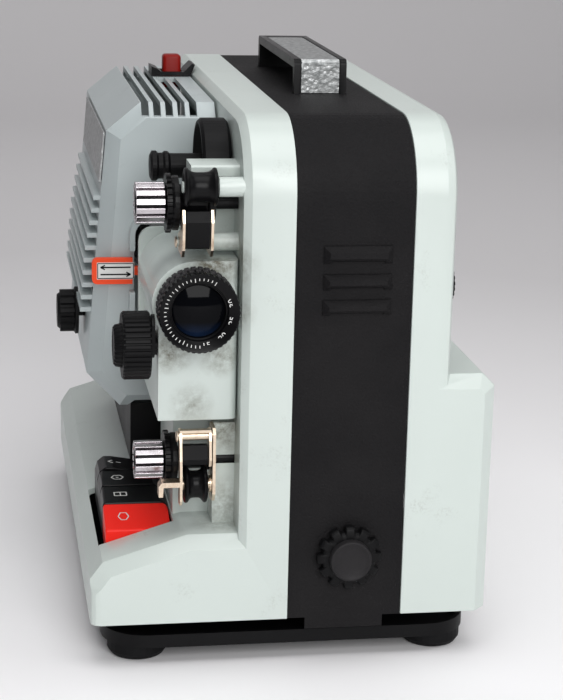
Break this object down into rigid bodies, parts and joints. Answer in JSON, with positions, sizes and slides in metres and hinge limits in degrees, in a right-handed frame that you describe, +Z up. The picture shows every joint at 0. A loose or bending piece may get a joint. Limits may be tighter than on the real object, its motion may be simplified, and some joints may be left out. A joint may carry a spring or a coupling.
{
  "type": "film projector",
  "caption": "Small-gauge cine projector: a tilting case on a base plate, with carrying handle, lens, lamphouse, sprockets, reel drive and rocker keys.",
  "frame": {"origin": "middle of the footprint, on the surface the feet stand on", "axes": "+Z up, -Y the way the lens points, +X the operator's right when facing the lens"},
  "size_m": [0.1992, 0.315, 0.276],
  "materials": {
    "casing_paint": "semi-gloss pale green-grey paint",
    "grained_cover": "black leather grain",
    "black_plastic": "satin black",
    "gloss_black": "gloss black",
    "foot_rubber": "matt black",
    "red_plastic": "gloss red",
    "lever_plastic": "gloss orange-red",
    "bright_chrome": "bright fluted chrome",
    "guide_metal": "worn nickel over brass",
    "plain_steel": "plain steel",
    "silver_trim": "satin silver",
    "mirror_coat": "polished reflector",
    "clear_glass": "clear glass",
    "coated_glass": "dark coated lens glass",
    "iron_core": "varnished laminations"
  },
  "bodies": {
    "stand": {"base_plate": "black_plastic", "tilt_pin": "plain_steel", "foot_front_left": "foot_rubber", "foot_front_right": "foot_rubber", "foot_rear_left": "foot_rubber", "foot_rear_right": "foot_rubber"},
    "case": {"under_pan": "black_plastic", "left_casing": "casing_paint", "right_casing": "casing_paint", "centre_band": "grained_cover", "mains_inlet": "black_plastic", "transformer": "iron_core", "motor": "plain_steel", "lamphouse_cover": "casing_paint", "name_plate": "silver_trim", "button_bezel": "gloss_black", "air_duct": "black_plastic", "lamp": "clear_glass", "reflector": "mirror_coat", "condenser_lens": "clear_glass", "gate_plate": "plain_steel", "lower_bracket": "guide_metal"},
    "tilt_knob": {"tilt_ring": "black_plastic", "tilt_cap": "black_plastic", "tilt_shaft": "plain_steel"},
    "tilt_leg": {"tilt_leg": "plain_steel"},
    "handle": {"handle_frame": "gloss_black", "handle_insert": "silver_trim"},
    "lens_door": {"lens_carriage": "casing_paint", "focus_bracket": "gloss_black"},
    "pressure_plate": {"pressure_plate": "plain_steel"},
    "lens": {"lens_barrel": "gloss_black", "front_glass": "coated_glass"},
    "zoom_ring": {"zoom_ring": "black_plastic"},
    "focus_knob": {"focus_knob": "black_plastic"},
    "format_lever": {"format_lever": "lever_plastic"},
    "upper_sprocket": {"upper_sprocket": "gloss_black", "upper_inching_knob": "bright_chrome"},
    "lower_sprocket": {"lower_sprocket": "gloss_black", "lower_inching_knob": "bright_chrome"},
    "upper_roller": {"upper_roller": "gloss_black"},
    "lower_roller": {"lower_roller": "gloss_black"},
    "upper_guide": {"upper_guide": "guide_metal", "upper_shoe": "black_plastic"},
    "lower_guide": {"lower_guide": "guide_metal", "lower_shoe": "black_plastic"},
    "reel_drive": {"reel_drum": "black_plastic", "reel_spindle": "black_plastic"},
    "side_knob": {"side_knob": "black_plastic"},
    "release_button": {"release_button": "red_plastic"},
    "motor_rotor": {"motor_rotor": "silver_trim"},
    "shutter": {"shutter": "black_plastic"},
    "speed_dial": {"speed_dial": "black_plastic"},
    "key_lamp": {"key_lamp": "red_plastic"},
    "key_run": {"key_run": "gloss_black"},
    "key_reel": {"key_reel": "gloss_black"},
    "key_reverse": {"key_reverse": "gloss_black"}
  },
  "joints": [
    {"name": "case_tilt", "type": "hinge", "parent": "stand", "child": "case", "pos_m": [0.00215, 0.14085, 0.0164], "axis": [-1, 0, 0], "range_deg": [0, 5.2]},
    {"name": "tilt_knob_turn", "type": "hinge", "parent": "case", "child": "tilt_knob", "pos_m": [0.03015, -0.14715, 0.0539], "axis": [0, 1, 0], "range_deg": [0, 165]},
    {"name": "tilt_leg_slide", "type": "slide", "parent": "case", "child": "tilt_leg", "axis": [0, 0, -1], "range_m": [0, 0.0253]},
    {"name": "handle_lift", "type": "slide", "parent": "case", "child": "handle", "axis": [0, 0, 1], "range_m": [0, 0.018]},
    {"name": "lens_door_hinge", "type": "hinge", "parent": "case", "child": "lens_door", "pos_m": [-0.02615, -0.13145, 0.1564], "axis": [0, 0, 1], "range_deg": [0, 9]},
    {"name": "pressure_plate_slide", "type": "slide", "parent": "lens_door", "child": "pressure_plate", "axis": [0, -1, 0], "range_m": [0, 0.0004], "stiffness_N_per_m": 200},
    {"name": "lens_slide", "type": "slide", "parent": "lens_door", "child": "lens", "axis": [0, -1, 0], "range_m": [-0.00248, 0.00248]},
    {"name": "zoom_ring_turn", "type": "hinge", "parent": "lens", "child": "zoom_ring", "pos_m": [-0.04255, -0.14715, 0.1744], "axis": [0, 1, 0], "range_deg": [-60, 60]},
    {"name": "focus_knob_turn", "type": "hinge", "parent": "lens_door", "child": "focus_knob", "pos_m": [-0.06785, -0.13715, 0.1559], "axis": [1, 0, 0], "range_deg": [-150, 150]},
    {"name": "format_lever_slide", "type": "slide", "parent": "case", "child": "format_lever", "axis": [1, 0, 0], "range_m": [0, 0.008]},
    {"name": "rotor_spin", "type": "hinge", "parent": "case", "child": "motor_rotor", "pos_m": [0.00215, 0.05285, 0.1124], "axis": [1, 0, 0], "continuous": true},
    {"name": "shutter_spin", "type": "hinge", "parent": "case", "child": "shutter", "pos_m": [-0.00385, -0.04715, 0.1744], "axis": [0, 1, 0], "continuous": true},
    {"name": "upper_sprocket_spin", "type": "hinge", "parent": "case", "child": "upper_sprocket", "pos_m": [-0.05785, -0.12315, 0.2192], "axis": [1, 0, 0], "continuous": true},
    {"name": "lower_sprocket_spin", "type": "hinge", "parent": "case", "child": "lower_sprocket", "pos_m": [-0.05785, -0.12315, 0.0963], "axis": [1, 0, 0], "continuous": true},
    {"name": "reel_drive_spin", "type": "hinge", "parent": "case", "child": "reel_drive", "pos_m": [-0.03785, -0.08615, 0.2303], "axis": [1, 0, 0], "continuous": true},
    {"name": "upper_roller_spin", "type": "hinge", "parent": "case", "child": "upper_roller", "pos_m": [-0.04085, -0.13915, 0.2293], "axis": [1, 0, 0], "continuous": true},
    {"name": "lower_roller_spin", "type": "hinge", "parent": "case", "child": "lower_roller", "pos_m": [-0.04085, -0.13515, 0.0873], "axis": [1, 0, 0], "continuous": true},
    {"name": "upper_guide_hinge", "type": "hinge", "parent": "case", "child": "upper_guide", "pos_m": [-0.04185, -0.12515, 0.2014], "axis": [1, 0, 0], "range_deg": [0, 10], "stiffness_Nm_per_rad": 0.05, "springref_deg": -5.73},
    {"name": "lower_guide_hinge", "type": "hinge", "parent": "case", "child": "lower_guide", "pos_m": [-0.04185, -0.13815, 0.1119], "axis": [-1, 0, 0], "range_deg": [0, 20], "stiffness_Nm_per_rad": 0.05, "springref_deg": -5.73},
    {"name": "side_knob_turn", "type": "hinge", "parent": "case", "child": "side_knob", "pos_m": [-0.09285, 0.00285, 0.1389], "axis": [1, 0, 0], "range_deg": [-135, 135]},
    {"name": "speed_dial_turn", "type": "hinge", "parent": "case", "child": "speed_dial", "pos_m": [0.08215, -0.11215, 0.1774], "axis": [1, 0, 0], "range_deg": [-135, 135]},
    {"name": "release_button_press", "type": "slide", "parent": "case", "child": "release_button", "axis": [0, 0, -1], "range_m": [0, 0.003], "stiffness_N_per_m": 150, "springref_m": -0.001},
    {"name": "key_lamp_press", "type": "hinge", "parent": "case", "child": "key_lamp", "pos_m": [-0.04535, -0.10735, 0.0554], "axis": [0, -1, 0], "range_deg": [0, 6], "stiffness_Nm_per_rad": 0.15, "springref_deg": -4.58},
    {"name": "key_run_press", "type": "hinge", "parent": "case", "child": "key_run", "pos_m": [-0.04535, -0.08715, 0.0554], "axis": [0, -1, 0], "range_deg": [0, 6], "stiffness_Nm_per_rad": 0.15, "springref_deg": -4.58},
    {"name": "key_reel_press", "type": "hinge", "parent": "case", "child": "key_reel", "pos_m": [-0.04535, -0.06695, 0.0554], "axis": [0, -1, 0], "range_deg": [0, 6], "stiffness_Nm_per_rad": 0.15, "springref_deg": -4.58},
    {"name": "key_reverse_press", "type": "hinge", "parent": "case", "child": "key_reverse", "pos_m": [-0.04535, -0.04675, 0.0554], "axis": [0, -1, 0], "range_deg": [0, 6], "stiffness_Nm_per_rad": 0.15, "springref_deg": -4.58}
  ],
  "couplings": [
    {"joint": "tilt_knob_turn", "follows": "case_tilt", "ratio": 31.1},
    {"joint": "tilt_leg_slide", "follows": "case_tilt", "m_per_rad": 0.272},
    {"joint": "focus_knob_turn", "follows": "lens_slide", "rad_per_m": 1050},
    {"joint": "shutter_spin", "follows": "rotor_spin", "ratio": 0.8},
    {"joint": "upper_sprocket_spin", "follows": "rotor_spin", "ratio": 0.0667},
    {"joint": "lower_sprocket_spin", "follows": "rotor_spin", "ratio": 0.0667}
  ]
}
